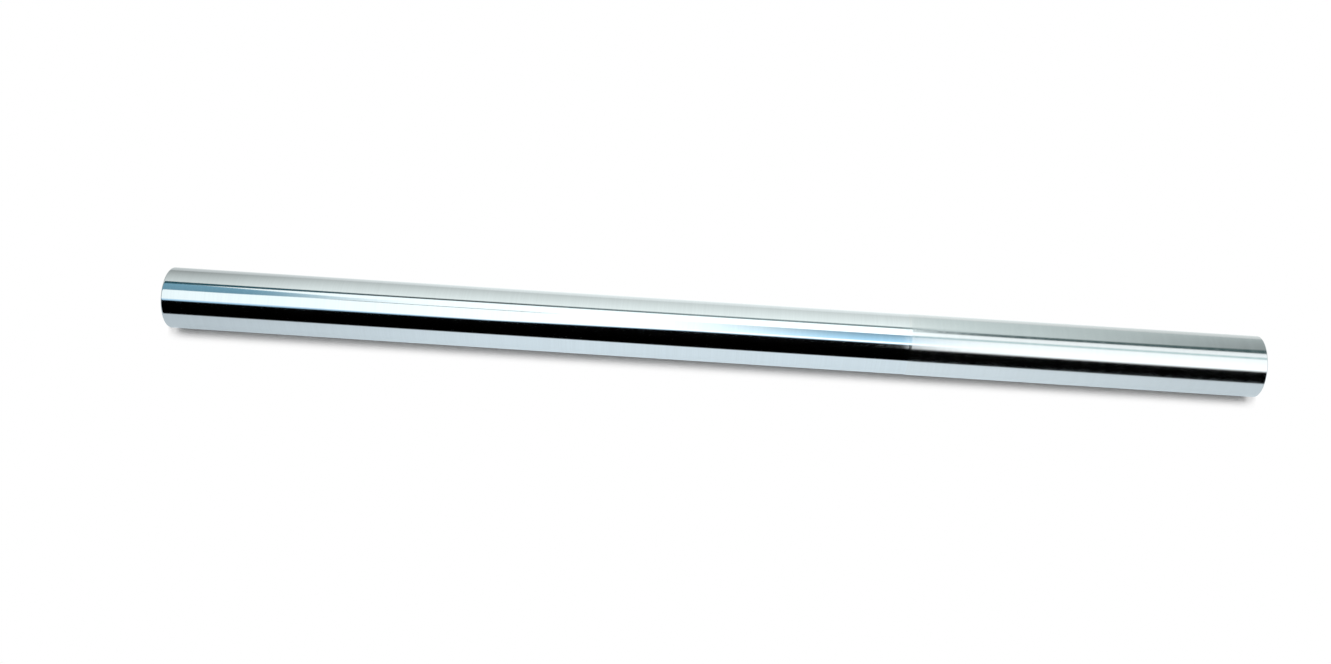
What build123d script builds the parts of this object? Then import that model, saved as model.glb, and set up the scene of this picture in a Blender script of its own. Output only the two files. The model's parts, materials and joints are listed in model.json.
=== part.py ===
from build123d import *
import os

# A fork tube lying along X: its clamped, threaded end is towards +X and its
# pinned ring end towards -X. Millimetres, +Z up, origin on the axis at mid
# length. Stations are measured along the axis from the ring end's face.

# Outside of the tube: a chromed length that slides and a ground length that
# is clamped, which stands proud of it by a small step
TUBE_LENGTH = 684.0
SLIDING_D = 38.0
CLAMPED_STEP = 0.2
CLAMPED_LENGTH = 220.0
TOP_EDGE_BREAK = 0.5
FOOT_EDGE_RADIUS = 0.8

# Drawn bore, with the wall measured at the sliding length
WALL = 3.6

# Cap thread at the clamped end: a plain pilot for the cap's collar, a lead-in
# cone, the thread's minor bore and a runout cone down to the drawn bore
CAP_THREAD_D = 34.0
CAP_THREAD_PITCH = 2.0
CAP_THREAD_TURNS = 10
MINOR_PER_PITCH = 1.0825
CAP_PILOT_CLEARANCE = 0.05
CAP_PILOT_DEPTH = 3.1
CAP_LEAD_IN = 2.2
CAP_RUNOUT = 1.5

# Seat for the pinned ring and the rod guide behind it
RING_SEAT_D = 31.8
RING_SEAT_BREAK = 0.3
RING_SEAT_CLEARANCE = 0.05

# Retaining ring: a front flange that carries the bush and a skirt that holds
# the rod guide down on the tube's inner shoulder
RING_RECESS = 0.8
RING_LENGTH = 6.0
RING_EDGE_BREAK = 0.15
RING_LIP = 0.25
SKIRT_BORE_D = 22.0
SPANNER_PCD = 26.0
SPANNER_HOLE_D = 3.0
SPANNER_HOLE_DEPTH = 3.2
SPANNER_HOLES = 2

# Bush that lines the ring's hole
BUSH_BORE_D = 19.8
BUSH_WALL = 0.6
BUSH_LENGTH = 1.7

# Rod guide: a flange on the shoulder and a boss that rises inside the ring
GUIDE_FLANGE = 3.0
GUIDE_BOSS_D = 18.6
GUIDE_BOSS_GAP = 1.0
GUIDE_BORE_D = 13.2
GUIDE_FRONT_BEVEL = 0.6
GUIDE_REAR_BEVEL = 0.4

# Radii and stations that follow from the sizes above
sliding_r = SLIDING_D / 2
clamped_r = sliding_r + CLAMPED_STEP
bore_r = sliding_r - WALL
cap_pilot_r = CAP_THREAD_D / 2 + CAP_PILOT_CLEARANCE
cap_minor_r = (CAP_THREAD_D - MINOR_PER_PITCH * CAP_THREAD_PITCH) / 2
cap_thread_length = CAP_THREAD_TURNS * CAP_THREAD_PITCH
ring_seat_r = RING_SEAT_D / 2
insert_r = ring_seat_r - RING_SEAT_CLEARANCE
bush_seat_r = BUSH_BORE_D / 2 + BUSH_WALL

clamped_start = TUBE_LENGTH - CLAMPED_LENGTH
pilot_floor = TUBE_LENGTH - CAP_PILOT_DEPTH
thread_top = pilot_floor - CAP_LEAD_IN
thread_foot = thread_top - cap_thread_length
ring_face = RING_RECESS
bush_front = ring_face + RING_LIP
bush_back = bush_front + BUSH_LENGTH
boss_face = bush_back + GUIDE_BOSS_GAP
ring_back = ring_face + RING_LENGTH
shoulder = ring_back + GUIDE_FLANGE


def turned(profile: list[tuple[float, float]]) -> Part:
    """Turn a half section, given as (station, radius) corners, about the X axis."""
    corners = [(station - TUBE_LENGTH / 2, radius) for station, radius in profile]
    return revolve(make_face(Polyline(*corners, close=True)), Axis.X)


def make_tube() -> Part:
    """The tube in one piece, stepped outside and bored from both ends."""
    outside = [
        (0, sliding_r),
        (clamped_start, sliding_r),
        (clamped_start + CLAMPED_STEP, clamped_r),
        (TUBE_LENGTH - TOP_EDGE_BREAK, clamped_r),
        (TUBE_LENGTH, clamped_r - TOP_EDGE_BREAK),
    ]
    cap_end = [
        (TUBE_LENGTH, cap_pilot_r),
        (pilot_floor, cap_pilot_r),
        (thread_top, cap_minor_r),
        (thread_foot, cap_minor_r),
        (thread_foot - CAP_RUNOUT, bore_r),
    ]
    ring_end = [
        (shoulder, bore_r),
        (shoulder, ring_seat_r),
        (RING_SEAT_BREAK, ring_seat_r),
        (0, ring_seat_r + RING_SEAT_BREAK),
    ]
    tube = turned(outside + cap_end + ring_end)
    foot_circles = tube.edges().filter_by(GeomType.CIRCLE).group_by(Axis.X)[0]
    foot_rim = foot_circles.sort_by(SortBy.RADIUS)[-1]
    return fillet(foot_rim, FOOT_EDGE_RADIUS)


def make_retaining_ring() -> Part:
    """The ring that closes the foot, with blind holes for a pin spanner."""
    ring = turned([
        (ring_face, BUSH_BORE_D / 2),
        (ring_face, insert_r - RING_EDGE_BREAK),
        (ring_face + RING_EDGE_BREAK, insert_r),
        (ring_back, insert_r),
        (ring_back, SKIRT_BORE_D / 2),
        (bush_back, SKIRT_BORE_D / 2),
        (bush_back, bush_seat_r),
        (bush_front, bush_seat_r),
        (bush_front, BUSH_BORE_D / 2),
    ])
    face_plane = Plane(origin=(ring_face - TUBE_LENGTH / 2, 0, 0), z_dir=(1, 0, 0))
    pin_hole = Cylinder(SPANNER_HOLE_D / 2, SPANNER_HOLE_DEPTH, align=(Align.CENTER, Align.CENTER, Align.MIN))
    return ring - face_plane * PolarLocations(SPANNER_PCD / 2, SPANNER_HOLES) * pin_hole


def make_oil_lock_bush() -> Part:
    """The thin bush pressed into the ring's hole, behind its lip."""
    return turned([
        (bush_front, BUSH_BORE_D / 2),
        (bush_front, bush_seat_r),
        (bush_back, bush_seat_r),
        (bush_back, BUSH_BORE_D / 2),
    ])


def make_rod_guide() -> Part:
    """The bevelled guide that the ring holds on the tube's inner shoulder."""
    guide_r = GUIDE_BORE_D / 2
    return turned([
        (boss_face, guide_r + GUIDE_FRONT_BEVEL),
        (boss_face, GUIDE_BOSS_D / 2),
        (ring_back, GUIDE_BOSS_D / 2),
        (ring_back, insert_r),
        (shoulder, insert_r),
        (shoulder, guide_r + GUIDE_REAR_BEVEL),
        (shoulder - GUIDE_REAR_BEVEL, guide_r),
        (boss_face + GUIDE_FRONT_BEVEL, guide_r),
    ])


os.makedirs("parts", exist_ok=True)
export_step(make_tube(), "parts/tube.step")
export_step(make_retaining_ring(), "parts/retaining_ring.step")
export_step(make_oil_lock_bush(), "parts/oil_lock_bush.step")
export_step(make_rod_guide(), "parts/rod_guide.step")
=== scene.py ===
"""Looks of a fork tube that lies on a pale floor: its finishes, its cut cap thread and the studio round it.

Metres, +Z up. The tube lies along X, with its threaded end towards +X and its pinned ring end towards -X.
"""

import json
import logging
import math
from dataclasses import dataclass, field
from enum import Enum
from typing import Any, Iterator

import bmesh
import bpy
from mathutils import Matrix, Vector


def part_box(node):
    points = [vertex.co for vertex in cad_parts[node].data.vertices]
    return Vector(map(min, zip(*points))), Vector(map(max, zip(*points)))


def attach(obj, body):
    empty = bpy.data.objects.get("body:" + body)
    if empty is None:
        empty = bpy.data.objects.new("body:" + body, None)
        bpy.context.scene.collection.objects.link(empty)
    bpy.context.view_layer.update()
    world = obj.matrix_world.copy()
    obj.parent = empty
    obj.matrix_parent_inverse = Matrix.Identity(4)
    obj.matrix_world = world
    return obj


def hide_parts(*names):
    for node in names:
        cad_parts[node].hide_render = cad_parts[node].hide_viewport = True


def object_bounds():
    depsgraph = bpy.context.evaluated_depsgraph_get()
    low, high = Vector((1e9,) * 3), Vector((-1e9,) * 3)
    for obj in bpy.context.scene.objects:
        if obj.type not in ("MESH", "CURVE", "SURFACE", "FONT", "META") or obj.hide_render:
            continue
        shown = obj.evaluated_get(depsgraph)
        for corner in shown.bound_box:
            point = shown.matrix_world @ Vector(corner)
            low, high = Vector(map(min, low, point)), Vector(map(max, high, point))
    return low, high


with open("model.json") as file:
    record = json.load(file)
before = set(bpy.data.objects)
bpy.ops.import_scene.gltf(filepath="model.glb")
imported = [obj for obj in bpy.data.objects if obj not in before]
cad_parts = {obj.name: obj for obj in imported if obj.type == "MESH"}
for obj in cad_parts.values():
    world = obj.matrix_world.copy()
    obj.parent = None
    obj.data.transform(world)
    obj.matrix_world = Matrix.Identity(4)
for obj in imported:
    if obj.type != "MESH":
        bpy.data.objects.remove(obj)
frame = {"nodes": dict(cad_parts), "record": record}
CAD_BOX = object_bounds()

LOG = logging.getLogger("fork_tube")
MILLIMETRE = 0.001
FULL_TURN = 2 * math.pi

PHOTO_WIDTH_PX = 1331
SENSOR_WIDTH_MM = 36.0

Colour = tuple[float, float, float]
Corner = tuple[float, float]
Run = float | tuple[tuple[float, float], ...]


class Surface(Enum):
    """The stretches of the tube that are finished each in their own way."""

    CHROMED = 0
    GROUND = 1
    END_FACE = 2
    BORED = 3
    THREADED = 4


class NodeBench:
    """Lays out one node tree and wires it."""

    def __init__(self, tree: bpy.types.NodeTree) -> None:
        """Starts from an empty tree.

        Args:
            tree: The tree of a material or of the world.
        """
        self.tree = tree
        self.tree.nodes.clear()

    @classmethod
    def for_material(cls, material: bpy.types.Material) -> "NodeBench":
        """Returns a bench on a material's own tree."""
        material.use_nodes = True
        return cls(material.node_tree)

    def add(self, kind: str, inputs: dict[Any, Any] | None = None, **settings: Any) -> bpy.types.Node:
        """Adds a node, sets it and feeds its sockets.

        Args:
            kind: The node's class name.
            inputs: A value or an output socket for each input, by name or index.
            settings: Properties of the node.

        Returns:
            The new node.
        """
        node = self.tree.nodes.new(kind)
        for name, value in settings.items():
            setattr(node, name, value)
        for socket, value in (inputs or {}).items():
            if isinstance(value, bpy.types.NodeSocket):
                self.tree.links.new(value, node.inputs[socket])
            else:
                node.inputs[socket].default_value = value
        return node

    def sum_up(self, operation: str, *terms: Any) -> bpy.types.NodeSocket:
        """Adds a Math node.

        Args:
            operation: Its operation, such as ADD.
            terms: Numbers or sockets, in order.

        Returns:
            The node's result.
        """
        return self.add("ShaderNodeMath", dict(enumerate(terms)), operation=operation).outputs[0]

    def first_mirror(self) -> bpy.types.NodeSocket:
        """Adds a test that is 1 where polished metal shows this surface to the camera, and 0 elsewhere.

        Returns:
            The test's socket.
        """
        rays = self.add("ShaderNodeLightPath")
        unscattered = self.sum_up("LESS_THAN", rays.outputs["Diffuse Depth"], 0.5)
        return self.sum_up("MULTIPLY", rays.outputs["Is Glossy Ray"], unscattered)

    def ramp(self, value: bpy.types.NodeSocket, low: float, high: float, out_low: float, out_high: float) -> Any:
        """Maps a value smoothly from one range to another.

        Args:
            value: The socket to map.
            low: Where the result is out_low.
            high: Where the result is out_high.
            out_low: The result at low and before it.
            out_high: The result at high and past it.

        Returns:
            The mapped value's socket.
        """
        inputs = {"Value": value, "From Min": low, "From Max": high, "To Min": out_low, "To Max": out_high}
        node = self.add("ShaderNodeMapRange", inputs, interpolation_type="SMOOTHSTEP", clamp=True)
        return node.outputs["Result"]


@dataclass(frozen=True)
class MachinedMetal:
    """A metal whose tool marks run round the tube's axis."""

    name: str
    colour: Colour
    roughness: float
    smear: float
    mark_spacing: float
    mark_depth: float
    tint_depth: float = 0.04
    metallic: float = 1.0
    # painted shade in grooves: the colour's share left at groove_to, darkening from groove_from outwards
    painted_groove_shade: float = 1.0
    groove_from: float = 15.95 * MILLIMETRE
    groove_to: float = 16.5 * MILLIMETRE

    def _radius(self, bench: NodeBench) -> Any:
        """Adds the distance from the axis.

        Args:
            bench: The material's bench.

        Returns:
            Its socket.
        """
        point = bench.add("ShaderNodeTexCoord").outputs["Object"]
        split = bench.add("ShaderNodeSeparateXYZ", {0: point})
        across = bench.add("ShaderNodeCombineXYZ", {"Y": split.outputs["Y"], "Z": split.outputs["Z"]})
        return bench.add("ShaderNodeVectorMath", {0: across.outputs[0]}, operation="LENGTH").outputs["Value"]

    def _marks(self, bench: NodeBench, spacing: float, wander: float) -> Any:
        """Adds one family of marks that run round the axis.

        Along a turned surface they are spaced by its x plus its radius, so end faces carry rings.

        Args:
            bench: The material's bench.
            spacing: The marks' mean spacing.
            wander: How many times a mark changes within a metre round the axis.

        Returns:
            A socket from 0 to 1.
        """
        point = bench.add("ShaderNodeTexCoord").outputs["Object"]
        split = bench.add("ShaderNodeSeparateXYZ", {0: point})
        along = bench.sum_up("DIVIDE", bench.sum_up("ADD", split.outputs["X"], self._radius(bench)), spacing)
        y = bench.sum_up("MULTIPLY", split.outputs["Y"], wander)
        z = bench.sum_up("MULTIPLY", split.outputs["Z"], wander)
        place = bench.add("ShaderNodeCombineXYZ", {"X": along, "Y": y, "Z": z})
        noise = {"Vector": place.outputs[0], "Scale": 1.0, "Detail": 2.0}
        return bench.add("ShaderNodeTexNoise", noise, noise_dimensions="3D").outputs["Fac"]

    def material(self) -> bpy.types.Material:
        """Builds the finish.

        Returns:
            The material.
        """
        made = bpy.data.materials.new(self.name)
        bench = NodeBench.for_material(made)
        fine = self._marks(bench, self.mark_spacing, 25.0)
        broad = self._marks(bench, 9 * self.mark_spacing, 12.0)
        blend = bench.sum_up("ADD", bench.sum_up("MULTIPLY", fine, 0.6), bench.sum_up("MULTIPLY", broad, 0.4))
        shade = bench.ramp(blend, 0.3, 0.7, 1 - self.tint_depth, 1.0)
        # Painted shade in the thread's grooves: the colour darkens from the crests towards the roots.
        if self.painted_groove_shade < 1:
            groove = bench.ramp(self._radius(bench), self.groove_from, self.groove_to, 1.0, self.painted_groove_shade)
            shade = bench.sum_up("MULTIPLY", shade, groove)
        tint = bench.add("ShaderNodeVectorMath", {0: self.colour, "Scale": shade}, operation="SCALE")
        rough = bench.ramp(broad, 0.25, 0.75, self.roughness * 0.85, self.roughness * 1.15)
        bump = bench.add("ShaderNodeBump", {"Height": blend, "Strength": 1.0, "Distance": self.mark_depth})
        round_axis = bench.add("ShaderNodeTangent", direction_type="RADIAL", axis="X")
        inputs = {
            "Base Color": tint.outputs["Vector"],
            "Metallic": self.metallic,
            "Roughness": rough,
            "Anisotropic": self.smear,
            "Anisotropic Rotation": 0.25,
            "Tangent": round_axis.outputs[0],
            "Normal": bump.outputs[0],
        }
        shader = bench.add("ShaderNodeBsdfPrincipled", inputs)
        bench.add("ShaderNodeOutputMaterial", {"Surface": shader.outputs[0]})
        return made


FINISHES: dict[Surface, MachinedMetal] = {
    Surface.CHROMED: MachinedMetal("hard_chrome", (0.60, 0.63, 0.65), 0.075, 0.3, 0.0006, 2e-8),
    Surface.GROUND: MachinedMetal("ground_steel", (0.60, 0.62, 0.63), 0.165, 0.8, 0.0005, 3e-7),
    Surface.END_FACE: MachinedMetal("faced_steel", (0.58, 0.59, 0.61), 0.30, 0.6, 0.0003, 1e-6),
    # The bores inside the tube are coloured much darker than the other steels: painted shade.
    Surface.BORED: MachinedMetal("bored_steel", (0.25, 0.26, 0.28), 0.36, 0.5, 0.0004, 2e-6),
    # The cut thread is coloured darker towards its roots: painted shade in the grooves.
    Surface.THREADED: MachinedMetal("cut_thread", (0.60, 0.61, 0.64), 0.24, 0.4, 0.0002, 1e-6, painted_groove_shade=0.22),
}
RING_STEEL = MachinedMetal("turned_steel", (0.42, 0.405, 0.385), 0.40, 0.4, 0.00022, 2.5e-6, 0.14)
BUSH_BRONZE = MachinedMetal("bush_bronze", (0.30, 0.145, 0.095), 0.5, 0.2, 0.0003, 2e-6, 0.25)
# The rod guide deep in the bore is coloured near black, far darker than bare steel: painted shade.
GUIDE_STEEL_PAINTED_SHADE = MachinedMetal("dark_steel", (0.07, 0.074, 0.08), 0.48, 0.3, 0.0003, 2e-6, 0.15)


def mount(name: str) -> dict[str, Any]:
    """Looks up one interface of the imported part.

    Args:
        name: The interface's name.

    Returns:
        Its entry in the record.
    """
    return next(entry for entry in frame["record"]["mounts"] if entry["name"] == name)


def mount_radius(name: str) -> float:
    """Returns the radius of a round interface, in metres."""
    return mount(name)["dims"]["r_mm"] * MILLIMETRE


def mount_span(name: str) -> tuple[float, float]:
    """Returns where a round interface starts and ends along X, in metres."""
    half = mount(name)["dims"]["length_mm"] * MILLIMETRE / 2
    middle = mount(name)["pos_m"][0]
    return middle - half, middle + half


@dataclass
class CapThread:
    """The cap's internal thread, cut between the pilot's floor and the drawn bore."""

    pitch: float = 2.0 * MILLIMETRE
    crest_share: float = 0.25
    root_share: float = 0.125
    rows_per_turn: int = 16
    fade_turns: float = 1.2
    runout: float = 1.5 * MILLIMETRE
    minor_r: float = field(default_factory=lambda: mount_radius("cap_thread"))
    pilot_r: float = field(default_factory=lambda: mount_radius("cap_pilot"))
    bore_r: float = field(default_factory=lambda: mount_radius("spring_bore"))
    foot: float = field(default_factory=lambda: mount_span("cap_thread")[0])
    top: float = field(default_factory=lambda: mount_span("cap_thread")[1])
    pilot_floor: float = field(default_factory=lambda: mount_span("cap_pilot")[0])

    @property
    def start(self) -> float:
        """Where the runout cone meets the drawn bore."""
        return self.foot - self.runout

    @property
    def depth(self) -> float:
        """The turns' depth, which a pitch of 60 degree flanks gives."""
        flanks = 1 - self.crest_share - self.root_share
        return self.pitch * flanks / 2 / math.tan(math.radians(30))

    def plain_radius(self, x: float) -> float:
        """The hole's radius before its thread is cut.

        Args:
            x: The place along the axis.

        Returns:
            The radius of the runout cone, the minor bore or the lead-in cone there.
        """
        if x < self.foot:
            share = max(0.0, (self.foot - x) / self.runout)
            return self.minor_r + (self.bore_r - self.minor_r) * min(1.0, share)
        if x > self.top:
            share = (x - self.top) / (self.pilot_floor - self.top)
            return self.minor_r + (self.pilot_r - self.minor_r) * min(1.0, share)
        return self.minor_r

    def cut_radius(self, x: float, phase: float) -> float:
        """The radius with the thread cut.

        Args:
            x: The place along the axis.
            phase: The place within one turn of thread, from 0 at a crest's middle to 1.

        Returns:
            The radius there.
        """
        from_crest = min(phase, 1 - phase) - self.crest_share / 2
        flank = (1 - self.crest_share - self.root_share) / 2
        cut = max(0.0, min(1.0, from_crest / flank))
        faded = max(0.0, min(1.0, (x - self.foot) / (self.fade_turns * self.pitch)))
        return max(self.plain_radius(x), self.minor_r + self.depth * cut * faded)

    def add_to(self, mesh: bmesh.types.BMesh, columns: int) -> list[bmesh.types.BMFace]:
        """Adds the thread as rows that follow the helix, closed on themselves one turn further on.

        Args:
            mesh: The mesh to add it to.
            columns: How many columns go round the axis.

        Returns:
            The new faces.
        """
        length = self.pilot_floor - self.start
        turns = math.ceil(length / self.pitch) + 1
        step = self.pitch / self.rows_per_turn
        rows = turns * self.rows_per_turn + 1
        grid = []
        for column in range(columns + 1):
            turn = column / columns
            angle = turn * FULL_TURN
            line = []
            for row in range(rows):
                raw = (turn - 1) * self.pitch + row * step
                x = self.start + max(0.0, min(length, raw))
                phase = (row / self.rows_per_turn) % 1.0
                radius = self.cut_radius(x, phase)
                line.append(mesh.verts.new((x, radius * math.cos(angle), radius * math.sin(angle))))
            grid.append(line)
        faces = []
        for left, right in zip(grid, grid[1:]):
            for row in range(rows - 1):
                faces.append(mesh.faces.new((left[row], left[row + 1], right[row + 1], right[row])))
        return faces


@dataclass
class ForkTube:
    """The tube itself, as one closed mesh with its finishes and its cut thread."""

    columns: int = 192
    foot_rounding: float = 1.3 * MILLIMETRE
    rounding_steps: int = 8
    step_blend: float = 1.5 * MILLIMETRE
    holding_edge: float = 0.2 * MILLIMETRE
    top_edge_break: float = 0.5 * MILLIMETRE
    seat_bevel: float = 0.3 * MILLIMETRE
    seat_r: float = 15.9 * MILLIMETRE
    thread: CapThread = field(default_factory=CapThread)
    sliding_r: float = field(default_factory=lambda: mount_radius("sliding_length"))
    clamped_r: float = field(default_factory=lambda: mount_radius("clamped_length"))

    def __post_init__(self) -> None:
        """Reads the tube's ends from its node, and the shoulder from the bore that ends there."""
        low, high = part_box("tube")
        self.foot_x = low[0]
        self.top_x = high[0]
        self.step_x = mount_span("clamped_length")[0]
        self.shoulder_x = mount_span("spring_bore")[0]

    def _foot_rim(self) -> Iterator[Corner]:
        """Yields the rounded rim of the foot, from its face to its side."""
        for step in range(self.rounding_steps + 1):
            turn = step / self.rounding_steps * math.pi / 2
            x = self.foot_x + self.foot_rounding * (1 - math.sin(turn))
            yield x, self.sliding_r - self.foot_rounding * (1 - math.cos(turn))

    def _stretches(self) -> list[tuple[Surface, list[Corner]]]:
        """Lists the turned stretches in order round the half section.

        Returns:
            Each stretch's finish and its corners, as x and radius.
        """
        rim = list(self._foot_rim())[::-1]
        hold = self.holding_edge
        sliding_start = (self.foot_x + self.foot_rounding + hold, self.sliding_r)
        sliding_end = (self.step_x - self.step_blend, self.sliding_r)
        held_end = (sliding_end[0] - hold, self.sliding_r)
        top_rim = (self.top_x, self.clamped_r - self.top_edge_break)
        bevel_rim = (self.foot_x, self.seat_r + self.seat_bevel)
        thread = self.thread
        ground = [
            sliding_end,
            (self.step_x, self.clamped_r),
            (self.step_x + hold, self.clamped_r),
            (self.top_x - self.top_edge_break, self.clamped_r),
            top_rim,
        ]
        drawn = [
            (thread.start, thread.bore_r),
            (self.shoulder_x, thread.bore_r),
            (self.shoulder_x, self.seat_r),
            (self.foot_x + self.seat_bevel, self.seat_r),
            bevel_rim,
        ]
        pilot = [(self.top_x, thread.pilot_r), (thread.pilot_floor, thread.pilot_r)]
        return [
            (Surface.CHROMED, rim + [sliding_start, held_end, sliding_end]),
            (Surface.GROUND, ground),
            (Surface.END_FACE, [top_rim, (self.top_x, thread.pilot_r)]),
            (Surface.BORED, pilot),
            (Surface.BORED, drawn),
            (Surface.END_FACE, [bevel_rim, rim[0]]),
        ]

    def _turn(self, mesh: bmesh.types.BMesh, corners: list[Corner]) -> list[bmesh.types.BMFace]:
        """Turns a line of corners about the axis.

        Args:
            mesh: The mesh to add it to.
            corners: The corners, as x and radius.

        Returns:
            The new faces.
        """
        rings = []
        for x, radius in corners:
            ring = []
            for column in range(self.columns):
                angle = column / self.columns * FULL_TURN
                ring.append(mesh.verts.new((x, radius * math.cos(angle), radius * math.sin(angle))))
            rings.append(ring)
        faces = []
        for near, far in zip(rings, rings[1:]):
            for column in range(self.columns):
                after = (column + 1) % self.columns
                faces.append(mesh.faces.new((near[column], far[column], far[after], near[after])))
        return faces

    def build(self) -> bpy.types.Object:
        """Builds and dresses the tube.

        Returns:
            The tube's object.
        """
        mesh = bmesh.new()
        for surface, corners in self._stretches():
            for face in self._turn(mesh, corners):
                face.material_index = surface.value
        for face in self.thread.add_to(mesh, self.columns):
            face.material_index = Surface.THREADED.value
        bmesh.ops.remove_doubles(mesh, verts=mesh.verts, dist=1e-7)
        bmesh.ops.dissolve_degenerate(mesh, edges=mesh.edges, dist=1e-8)
        bmesh.ops.recalc_face_normals(mesh, faces=mesh.faces)
        for face in mesh.faces:
            face.smooth = True
        data = bpy.data.meshes.new("tube_skin")
        mesh.to_mesh(data)
        mesh.free()
        for surface in Surface:
            data.materials.append(FINISHES[surface].material())
        data.set_sharp_from_angle(angle=math.radians(28))
        piece = bpy.data.objects.new("tube_skin", data)
        bpy.context.collection.objects.link(piece)
        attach(piece, "root")
        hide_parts("tube")
        LOG.info("%s: %d faces", piece.name, len(data.polygons))
        return piece


@dataclass
class FootStack:
    """The retaining ring, its bush and the rod guide behind it."""

    finishes: dict[str, MachinedMetal] = field(
        default_factory=lambda: {
            "retaining_ring": RING_STEEL,
            "oil_lock_bush": BUSH_BRONZE,
            "rod_guide": GUIDE_STEEL_PAINTED_SHADE,
        }
    )

    def dress(self) -> None:
        """Gives each node of the stack its finish."""
        for node, finish in self.finishes.items():
            piece = frame["nodes"][node]
            piece.data.materials.clear()
            piece.data.materials.append(finish.material())
            LOG.info("%s: %s", node, finish.name)


def along(run: Run, x: float) -> float:
    """Reads a value that changes evenly from station to station along the tube.

    Args:
        run: The value, or its stations as x and value from left to right. It stays level past both ends.
        x: The place along the tube.

    Returns:
        The value there.
    """
    if isinstance(run, float):
        return run
    for (left, before), (right, after) in zip(run, run[1:]):
        if x <= right:
            share = max(0.0, (x - left) / (right - left))
            return before + (after - before) * share
    return run[-1][1]


@dataclass(frozen=True)
class Card:
    """A bright or dark strip that only polished metal sees, along the tube and at a set height round it.

    Heights are angles round the tube's axis in degrees: 0 is level on the camera's side, 90 is overhead
    and 180 is level on the far side.
    """

    name: str
    colour: Colour
    low: Run
    high: Run
    glow: Run = 1.0
    glow_high: Run | None = None
    left: float = -1.6
    right: float = 1.6
    distance: float = 0.60
    left_fade: float = 0.0
    right_fade: float = 0.0
    low_fade: float = 0.0
    high_fade: float = 0.0
    steps: int = 10

    def _material(self) -> bpy.types.Material:
        """Builds a glow that fades out at the strip's ends and edges.

        Returns:
            The material.
        """
        made = bpy.data.materials.new(self.name)
        bench = NodeBench.for_material(made)
        fades = {
            "from_left": self.left_fade,
            "from_right": self.right_fade,
            "from_low": self.low_fade,
            "from_high": self.high_fade,
        }
        glow = bench.add("ShaderNodeAttribute", attribute_name="glow").outputs["Fac"]
        light = bench.add("ShaderNodeEmission", {"Color": (*self.colour, 1.0), "Strength": glow})
        cover = bench.first_mirror()
        for name, fade in fades.items():
            if fade > 0:
                reach = bench.add("ShaderNodeAttribute", attribute_name=name).outputs["Fac"]
                cover = bench.sum_up("MULTIPLY", cover, bench.ramp(reach, 0.0, fade, 0.0, 1.0))
        clear = bench.add("ShaderNodeBsdfTransparent")
        mix = bench.add("ShaderNodeMixShader", {0: cover, 1: clear.outputs[0], 2: light.outputs[0]})
        bench.add("ShaderNodeOutputMaterial", {"Surface": mix.outputs[0]})
        made.cycles.emission_sampling = "NONE"
        return made

    def _stations(self) -> list[float]:
        """Lists where along the tube the strip has a column of corners."""
        runs = [run for run in (self.low, self.high, self.glow, self.glow_high) if isinstance(run, tuple)]
        inner = {x for run in runs for x, _ in run if self.left < x < self.right}
        return sorted(inner | {self.left, self.right})

    def _fill(self, mesh: bmesh.types.BMesh) -> None:
        """Adds the strip's corners and faces, and writes its glow and its reaches on the corners.

        Args:
            mesh: The mesh to add it to.
        """
        names = ("glow", "from_left", "from_right", "from_low", "from_high")
        layers = [mesh.verts.layers.float.new(name) for name in names]
        rows = []
        for step in range(self.steps + 1):
            up = step / self.steps
            row = []
            for x in self._stations():
                low = along(self.low, x)
                high = along(self.high, x)
                near = along(self.glow, x)
                far = near if self.glow_high is None else along(self.glow_high, x)
                rise = (high - low) * up
                turn = math.radians(low + rise)
                corner = mesh.verts.new((x, -self.distance * math.cos(turn), self.distance * math.sin(turn)))
                values = (near + (far - near) * up, x - self.left, self.right - x, rise, high - low - rise)
                for layer, value in zip(layers, values):
                    corner[layer] = value
                row.append(corner)
            rows.append(row)
        for under, over in zip(rows, rows[1:]):
            for place in range(len(under) - 1):
                mesh.faces.new((under[place], under[place + 1], over[place + 1], over[place]))

    def build(self) -> None:
        """Builds the strip as a stage piece."""
        mesh = bmesh.new()
        self._fill(mesh)
        data = bpy.data.meshes.new(self.name)
        mesh.to_mesh(data)
        mesh.free()
        data.materials.append(self._material())
        strip = bpy.data.objects.new(self.name, data)
        bpy.context.collection.objects.link(strip)
        strip.visible_camera = False
        strip.visible_diffuse = False
        strip.visible_shadow = False
        strip.visible_transmission = False
        LOG.info("%s: %d faces", self.name, len(data.polygons))


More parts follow.
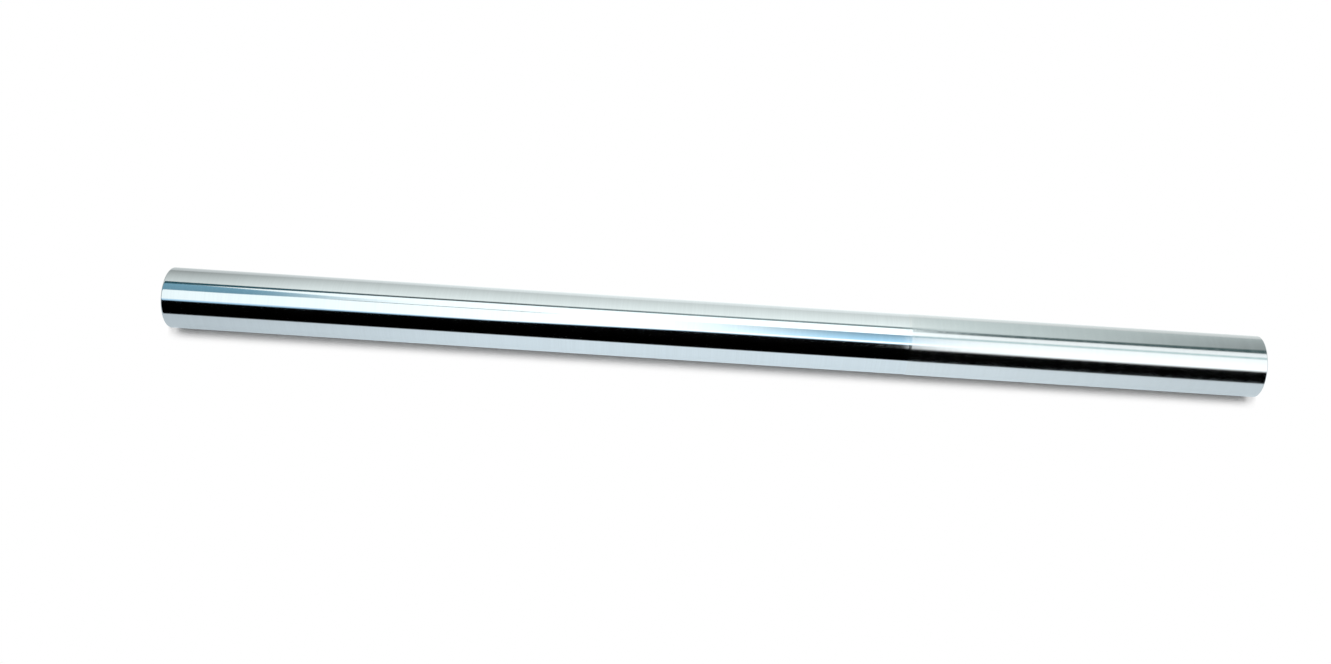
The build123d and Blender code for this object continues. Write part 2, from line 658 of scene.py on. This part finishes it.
@dataclass
class Studio:
    """The pale floor, the soft overhead light, what the metal mirrors, and the camera."""

    floor_half: float = 4.0
    floor_albedo: float = 0.85
    floor_seen: float = 1.2
    fade_start: float = 0.0125
    fade_end: float = 0.021
    end_fade: float = 3.0
    # floor_before and floor_behind tint the floor's painted glow that polished metal sees; mirrored_glow is its
    # strength.
    floor_before: Colour = (0.84, 0.97, 1.04)
    floor_behind: Colour = (0.90, 0.97, 0.95)
    mirrored_glow: float = 0.80
    mirrored_albedo: float = 0.27
    top_x: float = CAD_BOX[1][0]
    ambient: float = 0.45
    room_mirrored: Colour = (0.42, 0.46, 0.47)
    box_width: float = 1.8
    box_depth: float = 0.85
    box_height: float = 0.70
    box_glow: float = 1.2
    camera_elevation_deg: float = 55.0
    camera_distance: float = 0.86
    camera_roll_deg: float = 3.66
    tube_centre_x_px: float = 714.0
    scale_px_per_mm: float = 1.587
    cards: tuple[Card, ...] = (
        Card("dark_room", (0.0, 0.0, 0.0), -1.7, 75.0, distance=0.64),
        Card("dark_wall", (0.0, 0.0, 0.0), -8.4, 25.0, distance=0.13, low_fade=3.9),
        Card("blue_hem", (0.66, 1.02, 1.32), ((-0.55, 41.6), (-0.23, 43.2), (-0.02, 50.6)),
             ((-0.23, 52.0), (-0.02, 56.0)), right=0.21, distance=0.61, low_fade=4.0),
        Card("overhead_left", (0.92, 1.0, 1.0), ((-0.45, 47.0), (-0.23, 45.2), (-0.02, 52.6)),
             ((-0.6, 110.6), (0.2, 116.8)), ((-0.6, 1.5), (0.2, 2.2)), right=0.2065, low_fade=3.5),
        Card("overhead_right", (0.96, 1.0, 1.0), ((0.21, 35.3), (0.465, 33.0)),
             ((0.262, 107.5), (0.465, 108.5), (0.567, 110.0)), 2.0, 1.35, left=0.2065, low_fade=9.5),
        Card("far_wall_left", (0.94, 1.0, 0.97), ((-0.6, 112.5), (0.2, 118.6)), 181.0,
             ((-0.55, 1.1), (-0.42, 1.32), (0.2, 1.5)), ((-0.55, 0.47), (-0.42, 0.75), (0.0, 0.98)),
             right=0.2065),
        Card("far_wall_right", (0.89, 1.0, 0.985), ((0.262, 109.5), (0.465, 110.5), (0.567, 113.0)), 181.0,
             ((0.21, 1.25), (0.465, 0.68), (0.567, 0.37)), ((0.21, 0.98), (0.465, 0.75), (0.567, 0.65)),
             left=0.2065),
        Card("gap_line", (0.11, 0.14, 0.14), ((-0.6, 107.6), (0.2, 112.4)), ((-0.6, 115.8), (0.2, 122.8)),
             ((-0.25, 1.0), (-0.02, 3.0)), right=0.204, distance=0.58, low_fade=2.2, high_fade=2.6),
        Card("gap_left", (0.035, 0.12, 0.15), ((-0.6, 107.0), (-0.3, 109.4)), 118.0,
             right=-0.30, distance=0.57, right_fade=0.14, low_fade=1.5, high_fade=1.5),
        Card("gap_right", (0.07, 0.13, 0.13), ((0.262, 102.2), (0.465, 103.4), (0.567, 103.5)),
             ((0.262, 116.2), (0.465, 118.0), (0.567, 122.5)), left=0.204, distance=0.58,
             low_fade=3.0, high_fade=4.0),
        Card("blue_left", (0.23, 0.47, 0.60), ((-0.5, 82.0), (-0.38, 86.5)), ((-0.55, 111.0), (-0.38, 98.0)),
             0.95, 1.12, right=-0.29, distance=0.575, right_fade=0.2, low_fade=2.0, high_fade=2.0),
        Card("blue_right", (0.30, 0.50, 0.64), 58.0, 89.0, 2.6, 1.0, left=-0.09, right=0.203,
             distance=0.575, left_fade=0.25, low_fade=4.0, high_fade=2.0),
        Card("seam_left", (0.50, 0.57, 0.60), 84.0, 87.6, left=-0.42, right=-0.15, distance=0.575,
             left_fade=0.05, right_fade=0.05, low_fade=1.2, high_fade=1.2),
        Card("seam_right", (0.71, 0.92, 0.92), 80.5, 91.5, left=0.203, distance=0.575,
             low_fade=4.0, high_fade=4.0),
    )

    def _floor_paint(self) -> bpy.types.Material:
        """Builds the floor's paint, and a painted glow on it that polished metal sees brighter than the lamps
        alone make it.

        Returns:
            The material.
        """
        made = bpy.data.materials.new("pale_floor")
        bench = NodeBench.for_material(made)
        rays = bench.add("ShaderNodeLightPath")
        place = bench.add("ShaderNodeSeparateXYZ", {0: bench.add("ShaderNodeTexCoord").outputs["Object"]})
        x, y = place.outputs["X"], place.outputs["Y"]
        past_end = bench.sum_up("MAXIMUM", bench.sum_up("SUBTRACT", bench.sum_up("ABSOLUTE", x), self.top_x), 0.0)
        past_end = bench.sum_up("MULTIPLY", past_end, self.end_fade)
        away = bench.add("ShaderNodeCombineXYZ", {"X": past_end, "Y": y})
        reach = bench.add("ShaderNodeVectorMath", {0: away.outputs[0]}, operation="LENGTH").outputs["Value"]
        plain = bench.add("ShaderNodeBsdfDiffuse", {"Color": (*(self.floor_albedo,) * 3, 1)})
        seen = bench.add("ShaderNodeBsdfDiffuse", {"Color": (*(self.floor_seen,) * 3, 1)})
        white = bench.add("ShaderNodeEmission", {"Color": (1, 1, 1, 1), "Strength": 1.0})
        far = bench.ramp(reach, self.fade_start, self.fade_end, 0.0, 1.0)
        faded = bench.add("ShaderNodeMixShader", {0: far, 1: seen.outputs[0], 2: white.outputs[0]})
        # Painted pool of light: the glow rises from the left end to its brightest near the middle and falls
        # towards the right end.
        rise = bench.ramp(x, -0.42, -0.08, 0.70, 1.15)
        fall = bench.ramp(x, 0.1, 0.37, 1.0, 0.80)
        # Painted shade: the glow is dimmer right under the tube.
        painted_shade_beneath = bench.ramp(bench.sum_up("ABSOLUTE", y), 0.004, 0.024, 0.9, 1.0)
        level = bench.sum_up("MULTIPLY", bench.sum_up("MULTIPLY", rise, fall), painted_shade_beneath)
        # Painted light colour: the glow is bluer in front of the tube and greener behind it.
        behind = bench.ramp(y, 0.0, 0.08, 0.0, 1.0)
        tints = {0: behind, 6: (*self.floor_before, 1), 7: (*self.floor_behind, 1)}
        tint = bench.add("ShaderNodeMix", tints, data_type="RGBA")
        # The floor glows to polished metal though it is no lamp: painted light.
        strength = bench.sum_up("MULTIPLY", level, self.mirrored_glow)
        glow = bench.add("ShaderNodeEmission", {"Color": tint.outputs[2], "Strength": strength})
        shaded = bench.add("ShaderNodeBsdfDiffuse", {"Color": (*(self.mirrored_albedo,) * 3, 1)})
        mirrored = bench.add("ShaderNodeAddShader", {0: glow.outputs[0], 1: shaded.outputs[0]})
        inner = bench.add(
            "ShaderNodeMixShader",
            {0: bench.first_mirror(), 1: plain.outputs[0], 2: mirrored.outputs[0]},
        )
        outer = bench.add(
            "ShaderNodeMixShader",
            {0: rays.outputs["Is Camera Ray"], 1: inner.outputs[0], 2: faded.outputs[0]},
        )
        bench.add("ShaderNodeOutputMaterial", {"Surface": outer.outputs[0]})
        made.cycles.emission_sampling = "NONE"
        return made

    def _floor(self) -> None:
        """Lays the floor under the tube."""
        low_z = CAD_BOX[0][2]
        half = self.floor_half
        data = bpy.data.meshes.new("floor")
        corners = [(-half, -half, low_z), (half, -half, low_z), (half, half, low_z), (-half, half, low_z)]
        data.from_pydata(corners, [], [(0, 1, 2, 3)])
        data.materials.append(self._floor_paint())
        floor = bpy.data.objects.new("floor", data)
        bpy.context.collection.objects.link(floor)

    def _room(self) -> None:
        """Makes the room white to the camera, grey to polished metal and a soft fill to the rest."""
        world = bpy.data.worlds.new("room")
        world.use_nodes = True
        bpy.context.scene.world = world
        bench = NodeBench(world.node_tree)
        rays = bench.add("ShaderNodeLightPath")
        toward = bench.add("ShaderNodeSeparateXYZ", {0: bench.add("ShaderNodeTexCoord").outputs["Generated"]})
        overhead = bench.ramp(toward.outputs["Z"], 0.3, 0.95, 0.05 * self.ambient, 1.7 * self.ambient)
        fill = bench.add("ShaderNodeBackground", {"Color": (1, 1, 1, 1), "Strength": overhead})
        mirrored = bench.add("ShaderNodeBackground", {"Color": (*self.room_mirrored, 1), "Strength": 1.0})
        seen = bench.add("ShaderNodeBackground", {"Color": (1, 1, 1, 1), "Strength": 1.0})
        inner = bench.add(
            "ShaderNodeMixShader",
            {0: bench.first_mirror(), 1: fill.outputs[0], 2: mirrored.outputs[0]},
        )
        outer = bench.add(
            "ShaderNodeMixShader",
            {0: rays.outputs["Is Camera Ray"], 1: inner.outputs[0], 2: seen.outputs[0]},
        )
        bench.add("ShaderNodeOutputWorld", {"Surface": outer.outputs[0]})

    def _overhead_light(self) -> None:
        """Hangs the soft light that the floor takes its shadow from."""
        lamp = bpy.data.lights.new("soft_box", "AREA")
        lamp.shape = "RECTANGLE"
        lamp.size = self.box_width
        lamp.size_y = self.box_depth
        lamp.energy = self.box_glow * math.pi * self.box_width * self.box_depth
        holder = bpy.data.objects.new("soft_box", lamp)
        bpy.context.collection.objects.link(holder)
        angle = math.radians(83.0)
        holder.location = (0, -self.box_height * math.cos(angle), self.box_height * math.sin(angle))
        holder.rotation_euler = (math.radians(-7.0), 0, 0)
        holder.visible_camera = False
        holder.visible_glossy = False

    def _camera(self) -> None:
        """Sets the camera where the photograph was taken from."""
        data = bpy.data.cameras.new("photo_view")
        data.sensor_width = SENSOR_WIDTH_MM
        focal_px = self.scale_px_per_mm * self.camera_distance / MILLIMETRE
        data.lens = focal_px / PHOTO_WIDTH_PX * SENSOR_WIDTH_MM
        data.shift_x = -(self.tube_centre_x_px - PHOTO_WIDTH_PX / 2) / PHOTO_WIDTH_PX
        data.clip_start = 0.01
        camera = bpy.data.objects.new("photo_view", data)
        bpy.context.collection.objects.link(camera)
        elevation = math.radians(self.camera_elevation_deg)
        back = Vector((0, -math.cos(elevation), math.sin(elevation)))
        aim = (-back).to_track_quat("-Z", "Y").to_matrix().to_4x4()
        roll = Matrix.Rotation(math.radians(self.camera_roll_deg), 4, "Z")
        camera.matrix_world = Matrix.Translation(back * self.camera_distance) @ aim @ roll
        bpy.context.scene.camera = camera

    def build(self) -> None:
        """Sets up the whole studio."""
        self._floor()
        self._room()
        self._overhead_light()
        for card in self.cards:
            card.build()
        self._camera()
        bpy.context.scene.view_settings.view_transform = "Standard"


def main() -> None:
    """Builds the pieces in order, then the studio."""
    logging.basicConfig(level=logging.INFO, format="%(name)s %(message)s")
    ForkTube().build()
    FootStack().dress()
    Studio().build()


if __name__ == "__main__":
    main()
